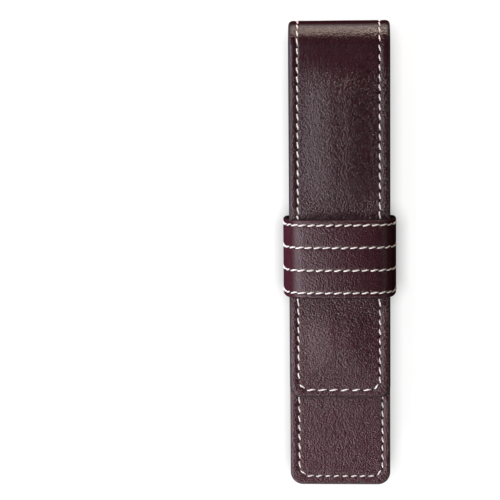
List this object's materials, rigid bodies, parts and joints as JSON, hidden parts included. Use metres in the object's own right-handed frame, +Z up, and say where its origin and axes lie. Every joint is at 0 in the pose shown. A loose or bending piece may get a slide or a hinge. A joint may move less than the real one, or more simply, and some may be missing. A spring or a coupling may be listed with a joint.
{
  "type": "single pen sleeve",
  "caption": "Narrow leather sleeve for a pen: a gusseted pouch whose lined flap folds over the mouth and tucks under a stitched band.",
  "frame": {"origin": "under the middle of the sleeve, on the surface that it lies on", "axes": "+X across the sleeve, +Y along it towards the fold, +Z up through the front"},
  "size_m": [0.0392, 0.16, 0.0228],
  "materials": {
    "outer_leather": "dark burgundy grained leather, satin",
    "lining_leather": "dark smooth lining leather",
    "gusset_leather": "dark burgundy leather, satin",
    "thread": "off-white waxed thread"
  },
  "bodies": {
    "sleeve": {"back_outer": "outer_leather", "back_lining": "lining_leather", "front_outer": "outer_leather", "front_lining": "lining_leather", "gusset": "gusset_leather", "band_outer": "outer_leather", "band_lining": "lining_leather", "back_seam_stitches": "thread", "front_seam_stitches": "thread", "band_stitches_1": "thread", "band_stitches_2": "thread", "band_stitches_3": "thread", "band_stitches_4": "thread"},
    "fold_back": {"fold_back_outer": "outer_leather", "fold_back_lining": "lining_leather", "fold_back_stitches": "thread"},
    "fold_front": {"fold_front_outer": "outer_leather", "fold_front_lining": "lining_leather", "fold_front_stitches": "thread"},
    "flap": {"flap_outer": "outer_leather", "flap_lining": "lining_leather", "flap_stitches": "thread"}
  },
  "joints": [
    {"name": "fold_lower", "type": "hinge", "parent": "sleeve", "child": "fold_back", "pos_m": [0, 0.07543, 0.00333], "axis": [-1, 0, 0], "range_deg": [0, 58]},
    {"name": "fold_middle", "type": "hinge", "parent": "fold_back", "child": "fold_front", "pos_m": [0, 0.08, 0.01125], "axis": [-1, 0, 0], "range_deg": [0, 58]},
    {"name": "fold_upper", "type": "hinge", "parent": "fold_front", "child": "flap", "pos_m": [0, 0.07543, 0.01917], "axis": [-1, 0, 0], "range_deg": [0, 58]}
  ],
  "couplings": [
    {"joint": "fold_middle", "follows": "fold_lower", "ratio": 1},
    {"joint": "fold_upper", "follows": "fold_lower", "ratio": 1}
  ]
}
